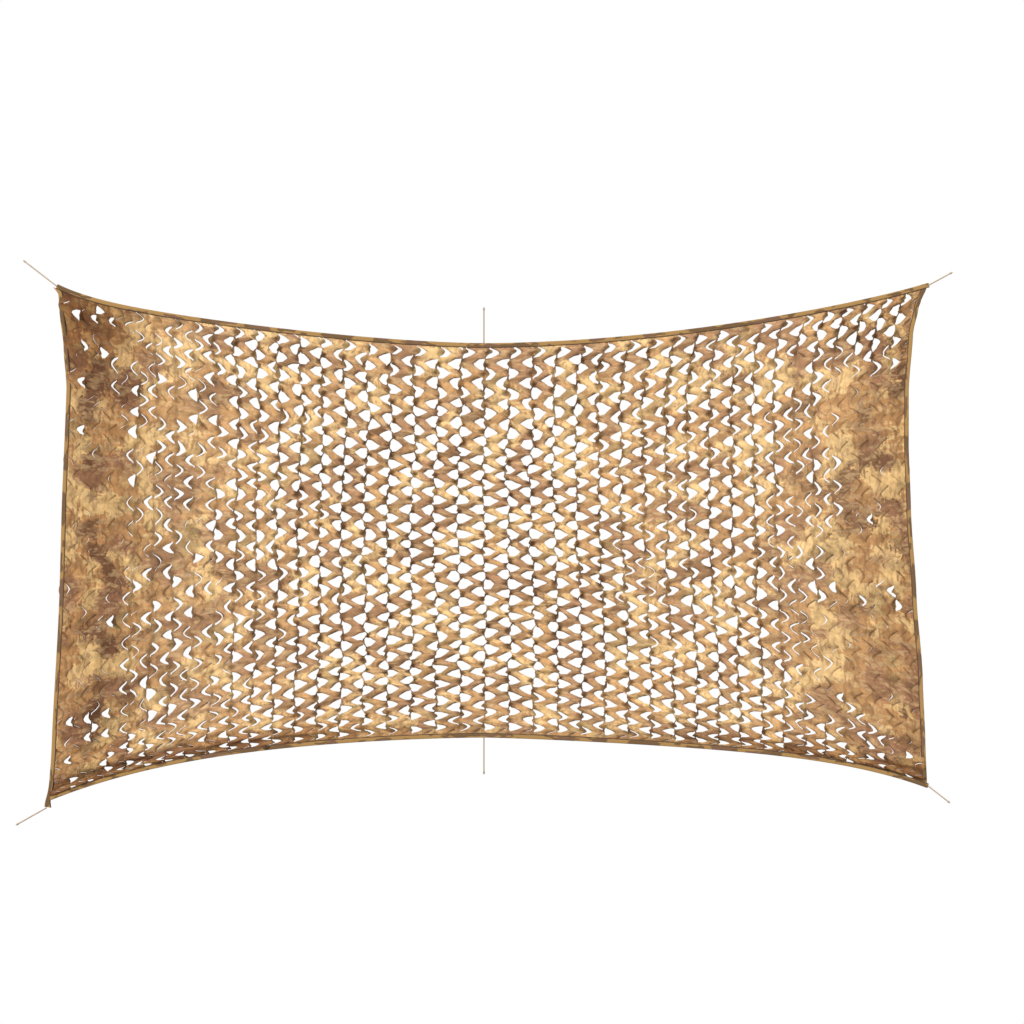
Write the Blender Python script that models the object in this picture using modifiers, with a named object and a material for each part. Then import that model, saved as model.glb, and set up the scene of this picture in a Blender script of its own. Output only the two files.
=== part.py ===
"""Camouflage net of slit cloth, bound with folded tape and held taut by six cords.

The net hangs in the XZ plane and is seen along +Y. The origin is on the top edge, where the
middle cord leaves the tape. One cloth is slit in staggered rows and pulled open sideways, so
its edges draw in between the cords. Here the slits stand PITCH_SCALE times wider apart than
the net's own SLIT_BAYS and SLIT_ROWS.
"""

import math

import bmesh
import bpy
from mathutils import Vector

# Bound outline, metres
TOP_WIDTH = 5.06
TIE_SHARE = 0.491  # how far along the top edge the middle cords pull
BOTTOM_LEFT_OUT = 0.058  # the bottom corners stand this far outside the top ones
BOTTOM_RIGHT_IN = 0.006
WAIST = 2.185  # between the middle cords; the right side is then 2.79 tall

# Slit cloth
SHEET = 0.002
SLIT_BAYS = 40
SLIT_ROWS = 22
PITCH_SCALE = 2
BAYS = SLIT_BAYS // PITCH_SCALE
ROWS = SLIT_ROWS // PITCH_SCALE
LINES_PER_ROW = 4
COLUMNS_PER_BAY = 4  # a slit, the ribbon between, the other slit, and the chain
CHAIN_WIDTH = 0.024
HOLE_REACH = 0.47  # of the bay's width, where fully open
HEM = 0.034  # plain cloth along each edge, which lies flat inside the tape
INSET = 0.007  # cloth edge to the tape's fold

# Folded tape: a U that closes over the hem
TAPE_WIDTH = 0.026
TAPE_WALL = 0.0012
TAPE_SLOT = 0.0026
TAPE_STEPS = 15  # from a middle cord to a corner
SIDE_STEPS = 16
SIDE_TOP_SHARES = [0.0, 0.015, 0.03, 0.05]  # closer steps where the side edges bend most
EAR_FLARE = 0.010
TUBE_END = 0.030
TUCK_GAP = 0.0005

# Cords
CORD_RADIUS = 0.004
CORD_STEP = 0.022
KNOT_LENGTH = 0.018
KNOT_SWELL = 1.6  # times the cord's radius
KNOT_TIP = 0.9
SEAT_GAP = 0.0003

WELD = 0.00001

# Runs of the top and bottom edges from the middle cord to a corner: a broad curve and a steeper
# tip that add up to the corner's distance from the cord's height (m), each with its power
TOP_RUN = {
    "left": {"broad": 0.270, "broad_power": 1.58, "tip": 0.060, "tip_power": 12},
    "right": {"broad": 0.318, "broad_power": 1.85, "tip": 0.012, "tip_power": 12},
}
BOTTOM_RUN = {
    "left": {"broad": 0.187, "broad_power": 1.60, "tip": 0.171, "tip_power": 4},
    "right": {"broad": 0.150, "broad_power": 1.35, "tip": 0.125, "tip_power": 5.7},
}

# Side edges: share of the way down, and how far the edge is drawn in from its chord (m)
LEFT_DRAW = [
    {"down": 0.00, "drawn_in": 0.000},
    {"down": 0.05, "drawn_in": 0.012},
    {"down": 0.12, "drawn_in": 0.040},
    {"down": 0.20, "drawn_in": 0.062},
    {"down": 0.45, "drawn_in": 0.047},
    {"down": 0.60, "drawn_in": 0.044},
    {"down": 0.90, "drawn_in": 0.015},
    {"down": 1.00, "drawn_in": 0.000},
]
RIGHT_DRAW = [
    {"down": 0.00, "drawn_in": 0.000},
    {"down": 0.05, "drawn_in": 0.056},
    {"down": 0.10, "drawn_in": 0.087},
    {"down": 0.21, "drawn_in": 0.111},
    {"down": 0.32, "drawn_in": 0.111},
    {"down": 0.45, "drawn_in": 0.097},
    {"down": 0.62, "drawn_in": 0.064},
    {"down": 0.78, "drawn_in": 0.027},
    {"down": 0.92, "drawn_in": 0.010},
    {"down": 1.00, "drawn_in": 0.000},
]

# How wide the bays are pulled, relative to each other, along the net
BAY_PULL = [
    {"along": 0.00, "width": 0.70},
    {"along": 0.12, "width": 0.80},
    {"along": 0.30, "width": 0.94},
    {"along": 0.50, "width": 1.04},
    {"along": 0.68, "width": 0.96},
    {"along": 0.82, "width": 0.90},
    {"along": 1.00, "width": 0.74},
]

# Soft folds and billows (m): centre, direction in degrees from +X, half-length, half-width and
# depth, where a positive depth stands back from the viewer
FOLDS = [
    {"x": -1.90, "z": -0.70, "turn": 84, "long": 0.90, "wide": 0.15, "depth": -0.034},
    {"x": -2.15, "z": -1.75, "turn": 96, "long": 0.75, "wide": 0.13, "depth": 0.032},
    {"x": -1.50, "z": -1.30, "turn": 88, "long": 1.10, "wide": 0.20, "depth": 0.022},
    {"x": -0.75, "z": -0.75, "turn": 75, "long": 0.80, "wide": 0.34, "depth": -0.008},
    {"x": 0.15, "z": -1.55, "turn": 100, "long": 0.80, "wide": 0.36, "depth": 0.008},
    {"x": 0.85, "z": -0.85, "turn": 82, "long": 0.90, "wide": 0.30, "depth": -0.010},
    {"x": 1.62, "z": -1.40, "turn": 92, "long": 1.00, "wide": 0.18, "depth": 0.026},
    {"x": 2.02, "z": -0.90, "turn": 86, "long": 0.85, "wide": 0.15, "depth": -0.038},
    {"x": 2.20, "z": -1.75, "turn": 97, "long": 0.65, "wide": 0.13, "depth": 0.036},
    {"x": -2.15, "z": 0.02, "turn": -42, "long": 0.42, "wide": 0.09, "depth": 0.024},
    {"x": -2.25, "z": -2.25, "turn": 38, "long": 0.38, "wide": 0.09, "depth": 0.022},
    {"x": 2.20, "z": 0.02, "turn": 222, "long": 0.40, "wide": 0.09, "depth": 0.022},
    {"x": 2.20, "z": -2.15, "turn": 140, "long": 0.38, "wide": 0.09, "depth": 0.022},
]
FOLD_FADE = 0.22  # folds die out this far in from the hem

# Slits that pulled open outside the evenly opened middle: bay, row, side of the bay, and share
# of the full reach
OPEN_BAYS = range(3, 16)
CORNER_HOLES = [
    {"bay": 16, "row": 0, "side": "left", "open": 0.70},
    {"bay": 16, "row": 0, "side": "right", "open": 0.75},
    {"bay": 17, "row": 0, "side": "left", "open": 0.90},
    {"bay": 17, "row": 0, "side": "right", "open": 0.90},
    {"bay": 18, "row": 0, "side": "left", "open": 0.90},
    {"bay": 18, "row": 0, "side": "right", "open": 0.80},
    {"bay": 17, "row": 1, "side": "left", "open": 0.70},
    {"bay": 16, "row": 1, "side": "left", "open": 0.60},
    {"bay": 17, "row": 9, "side": "right", "open": 0.55},
    {"bay": 18, "row": 10, "side": "left", "open": 0.60},
    {"bay": 2, "row": 0, "side": "right", "open": 0.45},
    {"bay": 2, "row": 1, "side": "left", "open": 0.40},
    {"bay": 1, "row": 5, "side": "right", "open": 0.35},
    {"bay": 2, "row": 9, "side": "right", "open": 0.45},
]

# Cords: direction pulled (x, z) and free length, m
CORDS = {
    "tie_top_left": {"pull": (-0.806, 0.592), "length": 0.243},
    "tie_top_middle": {"pull": (0.0, 1.0), "length": 0.199},
    "tie_top_right": {"pull": (0.888, 0.460), "length": 0.152},
    "tie_bottom_left": {"pull": (-0.880, -0.475), "length": 0.203},
    "tie_bottom_middle": {"pull": (0.0, -1.0), "length": 0.203},
    "tie_bottom_right": {"pull": (0.803, -0.596), "length": 0.156},
}


def smooth_table(table, key, value, at):
    """Value of a named-column table at a place between its rows, eased from row to row."""
    for low, high in zip(table, table[1:]):
        if at <= high[key]:
            share = (at - low[key]) / (high[key] - low[key])
            eased = share * share * (3 - 2 * share)
            return low[value] + (high[value] - low[value]) * (0.5 * share + 0.5 * eased)
    return table[-1][value]


# ---- Outline of the bound net ----


def run_rise(run, share):
    """How far a run has risen or dropped at a share of the way from the middle cord to its corner."""
    broad = run["broad"] * share ** run["broad_power"]
    return broad + run["tip"] * share ** run["tip_power"]


LEFT_X = -TOP_WIDTH * TIE_SHARE
RIGHT_X = TOP_WIDTH * (1 - TIE_SHARE)
CORNERS = {
    "top_left": Vector((LEFT_X, run_rise(TOP_RUN["left"], 1))),
    "top_right": Vector((RIGHT_X, run_rise(TOP_RUN["right"], 1))),
    "bottom_left": Vector((LEFT_X - BOTTOM_LEFT_OUT, -WAIST - run_rise(BOTTOM_RUN["left"], 1))),
    "bottom_right": Vector((RIGHT_X - BOTTOM_RIGHT_IN, -WAIST - run_rise(BOTTOM_RUN["right"], 1))),
}


def run_edge(ends, middle_z, runs, upward, share):
    """Point on the top or bottom edge, which curves from the middle cord up or down to its ends."""
    left, right = ends
    x = left.x + (right.x - left.x) * share
    end, side = (left, "left") if x < 0 else (right, "right")
    return Vector((x, middle_z + upward * run_rise(runs[side], x / end.x)))


def side_edge(top, bottom, table, inward, down):
    """Point on a side edge, drawn in from the straight line between its corners."""
    point = top.lerp(bottom, down)
    point.x += inward * smooth_table(table, "down", "drawn_in", down)
    return point


def shares_from_middle(ends):
    """Even shares along the top or bottom edge, one of them at its middle cord."""
    left, right = ends
    middle = -left.x / (right.x - left.x)
    first = [middle * number / TAPE_STEPS for number in range(TAPE_STEPS)]
    second = [1 - (1 - middle) * number / TAPE_STEPS for number in range(TAPE_STEPS + 1)]
    return first + second[::-1]


def top_edge(share):
    return run_edge((CORNERS["top_left"], CORNERS["top_right"]), 0.0, TOP_RUN, 1, share)


def bottom_edge(share):
    ends = (CORNERS["bottom_left"], CORNERS["bottom_right"])
    return run_edge(ends, -WAIST, BOTTOM_RUN, -1, share)


def left_edge(down):
    return side_edge(CORNERS["top_left"], CORNERS["bottom_left"], LEFT_DRAW, 1, down)


def right_edge(down):
    return side_edge(CORNERS["top_right"], CORNERS["bottom_right"], RIGHT_DRAW, -1, down)


def cloth_point(along, down):
    """Place in the XZ plane of a share along and a share down the outline, blended from its edges."""
    across = left_edge(down).lerp(right_edge(down), along)
    upright = top_edge(along).lerp(bottom_edge(along), down)
    top = CORNERS["top_left"].lerp(CORNERS["top_right"], along)
    bottom = CORNERS["bottom_left"].lerp(CORNERS["bottom_right"], along)
    return across + upright - top.lerp(bottom, down)


def fold_depth(point, along, down):
    """Depth of the hanging folds at a place, none at all inside the hem."""
    edge = min(along * TOP_WIDTH, (1 - along) * TOP_WIDTH, down * WAIST, (1 - down) * WAIST)
    fade = min(max((edge - HEM - INSET) / FOLD_FADE, 0.0), 1.0)
    depth = 0.0
    for fold in FOLDS:
        turn = math.radians(fold["turn"])
        offset = point - Vector((fold["x"], fold["z"]))
        lengthwise = (offset.x * math.cos(turn) + offset.y * math.sin(turn)) / fold["long"]
        crosswise = (offset.y * math.cos(turn) - offset.x * math.sin(turn)) / fold["wide"]
        depth += fold["depth"] * math.exp(-(lengthwise**2) - crosswise**2)
    return depth * fade * fade * (3 - 2 * fade)


# ---- The net ----


def bay_lines():
    """Share along the net of each line between bays, from the widths in BAY_PULL."""
    widths = [smooth_table(BAY_PULL, "along", "width", (n + 0.5) / BAYS) for n in range(BAYS)]
    margin = (HEM + INSET) / TOP_WIDTH
    lines = [margin]
    for width in widths:
        lines.append(lines[-1] + width / sum(widths) * (1 - 2 * margin))
    return lines


def hole_table():
    """Share of the full reach of each open slit, by bay, row and side of the bay."""
    holes = {(b, r, s): 1.0 for b in OPEN_BAYS for r in range(ROWS) for s in ("left", "right")}
    for hole in CORNER_HOLES:
        holes[hole["bay"], hole["row"], hole["side"]] = hole["open"]
    return holes


def reach(holes, bay, line, side):
    """How far the slit beside one chain is open at a line, as a share of its full reach."""
    first_line = {"left": 0, "right": LINES_PER_ROW // 2}[side]
    row, step = divmod(line - first_line, LINES_PER_ROW)
    return holes.get((bay, row, side), 0.0) if step in (1, 2) else 0.0


def column_shares(holes, lines, line):
    """Shares along the net of every cloth column at one line, and of the two outer edges."""
    shares = [INSET / TOP_WIDTH]
    half_chain = CHAIN_WIDTH / 2 / TOP_WIDTH
    for bay in range(BAYS):
        low = lines[bay] + half_chain
        high = lines[bay + 1] - half_chain
        full = HOLE_REACH * (lines[bay + 1] - lines[bay])
        left_gap = reach(holes, bay, line, "left") * full
        right_gap = reach(holes, bay, line, "right") * full
        shares += [low, low + left_gap, high - right_gap, high]
    return shares + [1 - INSET / TOP_WIDTH]


def is_hole(holes, column, line):
    """Whether the grid's face at this column and line lies in an open slit."""
    bay, place = divmod(column - 1, COLUMNS_PER_BAY)
    if column < 1 or place not in (0, 2):
        return False
    side = "left" if place == 0 else "right"
    ends = (reach(holes, bay, line, side), reach(holes, bay, line + 1, side))
    return max(ends) > 0


def make_net():
    """One slit cloth: a grid whose slit faces are taken out, drawn into place, then given its thickness."""
    holes = hole_table()
    lines = bay_lines()
    slit_lines = LINES_PER_ROW * ROWS + LINES_PER_ROW // 2
    columns = COLUMNS_PER_BAY * BAYS + 1
    mesh = bpy.data.meshes.new("net")
    grid = bmesh.new()
    bmesh.ops.create_grid(grid, x_segments=columns, y_segments=slit_lines + 1, size=0.5)

    def place_of(co):
        """Column and line of a grid point, the lines counted down from the first below the hem."""
        return round((co.x + 0.5) * columns), round((0.5 - co.y) * (slit_lines + 1)) - 1

    slits = []
    for face in grid.faces:
        places = [place_of(vertex.co) for vertex in face.verts]
        column = min(place[0] for place in places)
        line = min(place[1] for place in places)
        if 0 <= line < slit_lines - 1 and is_hole(holes, column, line):
            slits.append(face)
    bmesh.ops.delete(grid, geom=slits, context="FACES")

    hem_down = (HEM + INSET) / WAIST
    edge_down = INSET / WAIST
    for vertex in grid.verts:
        column, line = place_of(vertex.co)
        if 0 <= line < slit_lines:
            down = hem_down + (1 - 2 * hem_down) * line / (slit_lines - 1)
        else:
            down = edge_down if line < 0 else 1 - edge_down
        along = column_shares(holes, lines, line)[column]
        point = cloth_point(along, down)
        vertex.co = (point.x, fold_depth(point, along, down), point.y)
    bmesh.ops.remove_doubles(grid, verts=grid.verts, dist=WELD)
    grid.to_mesh(mesh)
    grid.free()
    net = bpy.data.objects.new("net", mesh)
    thicken = net.modifiers.new("cloth thickness", "SOLIDIFY")
    thicken.thickness = SHEET
    thicken.offset = 0
    return net


# ---- Folded tapes ----


def drawn_curve(name, points, radii=None):
    """Curve object through points, drawn as straight steps."""
    curve = bpy.data.curves.new(name, "CURVE")
    curve.dimensions = "3D"
    curve.twist_mode = "Z_UP"
    spline = curve.splines.new("POLY")
    spline.points.add(len(points) - 1)
    for number, point in enumerate(points):
        spline.points[number].co = (*point, 1)
        spline.points[number].radius = radii[number] if radii else 1
    return bpy.data.objects.new(name, curve)


def tape_section():
    """The folded tape's U, its fold on the outline and its two plies reaching in over the hem."""
    slot = TAPE_SLOT / 2
    half = slot + TAPE_WALL
    bevel = half / 2
    outer = [(0.0, -bevel), (0.0, bevel), (bevel, half), (TAPE_WIDTH, half)]
    inner = [(TAPE_WIDTH, slot), (TAPE_WALL, slot), (TAPE_WALL, -slot), (TAPE_WIDTH, -slot)]
    ends = [(TAPE_WIDTH, -half), (bevel, -half)]
    section = drawn_curve("tape section", [(x, y, 0) for x, y in outer + inner + ends])
    section.data.splines[0].use_cyclic_u = True
    return section


def trimmed(mesh, cut):
    """The mesh cut off square through the sheet where another tape passes."""
    point, toward = cut
    work = bmesh.new()
    work.from_mesh(mesh)
    bmesh.ops.remove_doubles(work, verts=work.verts, dist=WELD)
    everything = work.verts[:] + work.edges[:] + work.faces[:]
    bmesh.ops.bisect_plane(
        work,
        geom=everything,
        plane_co=(point.x, point.y, 0),
        plane_no=(toward.x, toward.y, 0),
        clear_outer=True,
    )
    open_edges = [edge for edge in work.edges if edge.is_boundary]
    bmesh.ops.triangle_fill(work, edges=open_edges, use_beauty=True)
    bmesh.ops.recalc_face_normals(work, faces=work.faces)
    work.to_mesh(mesh)
    work.free()


def make_tape(name, points, section, cuts=()):
    """Folded tape swept along the outline, drawn flat and then stood up in the XZ plane."""
    path = drawn_curve(name, [(point.x, point.y, 0) for point in points])
    path.data.bevel_mode = "OBJECT"
    path.data.bevel_object = section
    path.data.use_fill_caps = True
    bpy.context.scene.collection.objects.link(path)
    bpy.context.view_layer.update()
    swept = path.evaluated_get(bpy.context.evaluated_depsgraph_get())
    mesh = bpy.data.meshes.new_from_object(swept)
    bpy.data.objects.remove(path)
    weld = bmesh.new()
    weld.from_mesh(mesh)
    bmesh.ops.remove_doubles(weld, verts=weld.verts, dist=WELD)
    weld.to_mesh(mesh)
    weld.free()
    for cut in cuts:
        trimmed(mesh, cut)
    tape = bpy.data.objects.new(name, mesh)
    tape.rotation_euler = (math.radians(90), 0, 0)
    return tape


def tape_lines():
    """Each tape's line on the outline, clockwise, so that the net is always on its right."""
    top_ends = (CORNERS["top_left"], CORNERS["top_right"])
    bottom_ends = (CORNERS["bottom_left"], CORNERS["bottom_right"])
    side_shares = SIDE_TOP_SHARES + [n / SIDE_STEPS for n in range(2, SIDE_STEPS + 1)]
    left = [left_edge(share) for share in reversed(side_shares)]
    left[0] = left[0] + (left[0] - left[1]).normalized() * TUBE_END
    left[-1] = left[-1] + Vector((-EAR_FLARE, 0))
    return {
        "top": [top_edge(share) for share in shares_from_middle(top_ends)],
        "right": [right_edge(share) for share in side_shares],
        "bottom": [bottom_edge(share) for share in reversed(shares_from_middle(bottom_ends))],
        "left": left,
    }


def tape_end(line, last=False):
    """One end of a tape's line: its corner, the way out of the tape, and the way to the net."""
    corner, neighbour = (line[-1], line[-2]) if last else (line[0], line[1])
    out = (corner - neighbour).normalized()
    travel = out if last else -out
    return {"corner": corner, "out": out, "to_net": Vector((travel.y, -travel.x))}


def tape_ends(lines):
    """The four tape ends that run through to the net's corners."""
    return {
        "top_left": tape_end(lines["top"]),
        "top_right": tape_end(lines["top"], last=True),
        "bottom_left": tape_end(lines["left"]),
        "bottom_right": tape_end(lines["bottom"]),
    }


def cut_beside(end):
    """Where another tape is cut off: clear of this tape's inner edge, with the side that goes."""
    return end["corner"] + end["to_net"] * (TAPE_WIDTH + TUCK_GAP), -end["to_net"]


def make_tapes():
    """Four tapes; each corner has one that runs through and one cut off against it."""
    section = tape_section()
    bpy.context.scene.collection.objects.link(section)
    lines = tape_lines()
    beside = {corner: cut_beside(end) for corner, end in tape_ends(lines).items()}
    tapes = [
        make_tape("binding_top", lines["top"], section),
        make_tape(
            "binding_right", lines["right"], section, [beside["top_right"], beside["bottom_right"]]
        ),
        make_tape("binding_bottom", lines["bottom"], section, [beside["bottom_left"]]),
        make_tape("binding_left", lines["left"], section, [beside["top_left"]]),
    ]
    bpy.data.objects.remove(section)
    return tapes


# ---- Cords ----


def end_face_seat(end, pull):
    """Start of a cord that leaves a tape's cut end, clear of it by the seat gap."""
    lean = abs(pull.x * end["out"].y - pull.y * end["out"].x)
    middle = end["corner"] + end["to_net"] * (TAPE_WIDTH / 2)
    return middle + end["out"] * (CORD_RADIUS * lean + SEAT_GAP)


def cord_seats():
    """Where each cord starts: at the cut ends of the tapes, and on the fold at the middle."""
    seats = {
        "tie_top_middle": Vector((0, SEAT_GAP)),
        "tie_bottom_middle": Vector((0, -WAIST - SEAT_GAP)),
    }
    for corner, end in tape_ends(tape_lines()).items():
        seats["tie_" + corner] = end_face_seat(end, Vector(CORDS["tie_" + corner]["pull"]))
    return seats


def make_cord(name, seat):
    """A taut cord that ends in a small stopper knot of its own."""
    pull = Vector(CORDS[name]["pull"]).normalized()
    straight = CORDS[name]["length"] - KNOT_LENGTH
    steps = max(2, round(straight / CORD_STEP))
    stations = [(straight * number / steps, 1.0) for number in range(steps + 1)]
    stations += [
        (straight + KNOT_LENGTH * 0.25, KNOT_SWELL),
        (straight + KNOT_LENGTH * 0.75, KNOT_SWELL),
        (straight + KNOT_LENGTH, KNOT_TIP),
    ]
    points = [seat + pull * distance for distance, _ in stations]
    cord = drawn_curve(name, [(p.x, 0, p.y) for p in points], [r for _, r in stations])
    cord.data.twist_mode = "MINIMUM"
    cord.data.bevel_depth = CORD_RADIUS
    cord.data.bevel_resolution = 2
    cord.data.use_fill_caps = True
    return cord


# ---- Materials and assembly ----


def cloth_material(name, color, roughness):
    material = bpy.data.materials.new(name)
    material.use_nodes = True
    shader = material.node_tree.nodes["Principled BSDF"]
    shader.inputs["Base Color"].default_value = (*color, 1)
    shader.inputs["Roughness"].default_value = roughness
    shader.inputs["Metallic"].default_value = 0
    return material


for leftover in list(bpy.data.objects):
    bpy.data.objects.remove(leftover)

assembly = bpy.data.collections.new("camouflage netting")
bpy.context.scene.collection.children.link(assembly)

net = make_net()
net.data.materials.append(cloth_material("printed cloth", (0.48, 0.31, 0.13), 0.85))
assembly.objects.link(net)

for tape in make_tapes():
    tape.data.materials.append(cloth_material(tape.name + " tape", (0.31, 0.21, 0.10), 0.85))
    assembly.objects.link(tape)

for cord_name, seat in cord_seats().items():
    cord = make_cord(cord_name, seat)
    cord.data.materials.append(cloth_material(cord_name + " cord", (0.58, 0.43, 0.29), 0.8))
    assembly.objects.link(cord)
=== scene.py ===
"""Camouflage net of slit cloth with its tapes, sewing and tie cords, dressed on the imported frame."""

import math
import random

import bmesh
import bpy
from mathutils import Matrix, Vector, noise


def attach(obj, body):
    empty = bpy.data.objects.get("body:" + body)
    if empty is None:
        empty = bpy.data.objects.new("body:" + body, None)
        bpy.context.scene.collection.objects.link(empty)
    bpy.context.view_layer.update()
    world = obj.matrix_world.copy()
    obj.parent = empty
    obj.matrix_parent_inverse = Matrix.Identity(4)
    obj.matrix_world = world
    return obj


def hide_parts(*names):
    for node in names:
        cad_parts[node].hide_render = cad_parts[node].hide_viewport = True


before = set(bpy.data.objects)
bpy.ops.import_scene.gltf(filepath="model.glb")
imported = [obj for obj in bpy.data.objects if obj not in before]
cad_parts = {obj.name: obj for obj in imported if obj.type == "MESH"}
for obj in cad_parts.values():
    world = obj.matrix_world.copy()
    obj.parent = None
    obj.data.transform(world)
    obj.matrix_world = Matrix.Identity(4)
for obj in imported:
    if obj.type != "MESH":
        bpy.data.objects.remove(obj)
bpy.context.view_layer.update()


# ---- Net ----
# One panel of thin woven polyester, printed with camouflage and slit through in staggered rows
# of rounded cuts. It is pulled sideways, so each slit gapes, the tongue in it turns edge-on, and
# the cloth left between the slits runs in zigzag ribbons from one upright strip to the next.

TOP_WIDTH = 5.06
TIE_SHARE = 0.491  # how far along the top edge the middle cords pull
BOTTOM_LEFT_OUT = 0.058
BOTTOM_RIGHT_IN = 0.006
WAIST = 2.185  # between the middle cords

# Runs of the top and bottom edges from the middle cord to a corner, as in the CAD
TOP_RUN = {
    "left": {"broad": 0.270, "broad_power": 1.58, "tip": 0.060, "tip_power": 12},
    "right": {"broad": 0.318, "broad_power": 1.85, "tip": 0.012, "tip_power": 12},
}
BOTTOM_RUN = {
    "left": {"broad": 0.187, "broad_power": 1.60, "tip": 0.171, "tip_power": 4},
    "right": {"broad": 0.150, "broad_power": 1.35, "tip": 0.125, "tip_power": 5.7},
}


def rows_of(columns, *rows):
    """A table as a list of rows, each with its values by the name of their column."""
    return [dict(zip(columns.split(), row)) for row in rows]


# Side edges: share of the way down, and how far the edge is drawn in from its chord (m)
LEFT_DRAW = rows_of(
    "down drawn_in",
    (0.00, 0.000),
    (0.05, 0.012),
    (0.12, 0.040),
    (0.20, 0.062),
    (0.45, 0.047),
    (0.60, 0.044),
    (0.90, 0.015),
    (1.00, 0.000),
)
RIGHT_DRAW = rows_of(
    "down drawn_in",
    (0.00, 0.000),
    (0.05, 0.056),
    (0.10, 0.087),
    (0.21, 0.111),
    (0.32, 0.111),
    (0.45, 0.097),
    (0.62, 0.064),
    (0.78, 0.027),
    (0.92, 0.010),
    (1.00, 0.000),
)

# Slit pattern: sizes in metres on the flat cloth, unless they are said to be lines or shares
BAYS = 40
ROWS = 23
FLAT_BAY = 0.110
FLAT_ROW = 0.124
LINES_PER_ROW = 12
LINES = LINES_PER_ROW * ROWS + 3
FIRST_SLIT = {"right": 6, "left": 12}  # first line of a slit's middle, by the way its tongue points
SLIT_LINES = 4.1  # from a slit's middle to its end, and the same where it gapes fully
HOLE_LINES = 3.2
SHIFT_LINES = 0.65  # how far up or down a slit may be cut off its place
STRIP = 0.014  # upright strip that carries the tongues
TONGUE = 0.046
TONGUE_SHRINK = 0.32  # how much narrower a tongue looks once it hangs free in its hole
GAPE_REACH = 0.725  # how far a gaping hole reaches across its bay
CUT_ROUNDNESS = 1.50
HOLE_ROUNDNESS = 1.22  # the pull draws the cut's rounded end out to a point
HOLE_SWELL = 0.9  # lines by which a gaping hole's belly pushes the ribbons apart
STRIP_TURN = 62  # degrees that a strip turns out of the net's plane where its slits gape fully
ZIGZAG = 0.022  # how far each strip is pulled aside by the ribbons, left and right in turn
INSET = 0.007  # cloth edge to the tape's fold
FLAT_LINES = 2  # lines inside the tape at the head and foot
EASE_LINES = 4.5  # lines over which the slits start to gape below and above them
HEM = 0.034  # flat cloth round the edge, where no fold or wrinkle starts
BUNCHED_SHUT = 0.6  # share of its gape that a slit loses in cloth that is bunched up
STRAY_SHARE = 0.045  # of the slits in closed cloth, gaping all the same
HALF_COVERED_SHUT = 0.85  # of the slits that the head and foot tapes half cover, staying shut
STRAY_PINCH = 0.7  # how far a stray slit's hole is narrowed and shortened

# How wide the bays are pulled, relative to each other, how freely their slits gape, and how many
# of their tongues have turned edge-on
BAY_PULL = rows_of(
    "along width gape turned",
    (0.000, 0.74, 0.00, 0.00),
    (0.050, 0.76, 0.05, 0.03),
    (0.075, 0.79, 0.12, 0.10),
    (0.092, 0.81, 0.38, 0.30),
    (0.115, 0.82, 0.37, 0.26),
    (0.140, 0.84, 0.36, 0.28),
    (0.190, 0.87, 0.32, 0.30),
    (0.225, 0.89, 0.48, 0.45),
    (0.300, 0.93, 0.72, 0.64),
    (0.400, 1.00, 0.86, 0.88),
    (0.500, 1.02, 0.94, 1.00),
    (0.600, 0.98, 0.84, 0.85),
    (0.700, 0.94, 0.70, 0.62),
    (0.790, 0.90, 0.66, 0.55),
    (0.825, 0.88, 0.48, 0.42),
    (0.875, 0.85, 0.20, 0.06),
    (0.905, 0.82, 0.08, 0.04),
    (1.000, 0.78, 0.00, 0.00),
)

# Relative height of the rows down the middle and down both sides, where the cloth is bunched up
# above the foot
ROW_SPREAD = rows_of(
    "down middle side",
    (0.00, 1.22, 0.90),
    (0.08, 1.22, 1.08),
    (0.16, 1.18, 1.17),
    (0.30, 0.98, 1.20),
    (0.50, 1.01, 1.22),
    (0.74, 0.95, 1.18),
    (0.84, 0.97, 0.86),
    (0.90, 0.98, 0.66),
    (0.95, 0.92, 0.34),
    (1.00, 0.84, 0.24),
)
MIDDLE_ALONG = 0.53  # where the rows are crowded least, and how far off the side spacing is reached
SIDE_AWAY = 0.42

# Places where the slits gape more or less than their bay does: the top right corner gapes, and
# the cloth lies closer below the head's middle, above the foot and in patches near the sides
SPOTS = rows_of(
    "along down across tall gape",
    (0.500, 0.00, 0.20, 0.12, 0.62),
    (0.180, 0.05, 0.07, 0.15, 0.42),
    (0.070, 0.10, 0.05, 0.12, 0.20),
    (0.280, 0.04, 0.08, 0.12, 0.86),
    (0.270, 0.74, 0.06, 0.08, 0.50),
    (0.540, 1.00, 0.28, 0.13, 0.50),
    (0.550, 0.93, 0.05, 0.08, 0.50),
    (0.130, 0.80, 0.04, 0.10, 0.46),
    (0.130, 1.00, 0.10, 0.06, 0.12),
    (0.170, 0.93, 0.11, 0.08, 0.34),
    (0.645, 0.25, 0.03, 0.10, 0.50),
    (0.690, 0.50, 0.07, 0.28, 0.48),
    (0.790, 0.04, 0.05, 0.12, 0.42),
    (0.910, 0.88, 0.08, 0.08, 0.44),
    (0.080, 0.88, 0.07, 0.08, 0.10),
    (0.882, 0.30, 0.02, 0.34, 0.46),
    (0.985, 0.01, 0.13, 0.13, 0.95),
    (0.995, 0.99, 0.07, 0.06, 0.20),
)

# Places in the closed cloth where stray slits gape most often
STRAY_SPOTS = rows_of(
    "along down across tall more",
    (0.000, 0.000, 0.080, 0.160, 0.22),
    (0.080, 0.865, 0.065, 0.080, 0.34),
)

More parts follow.
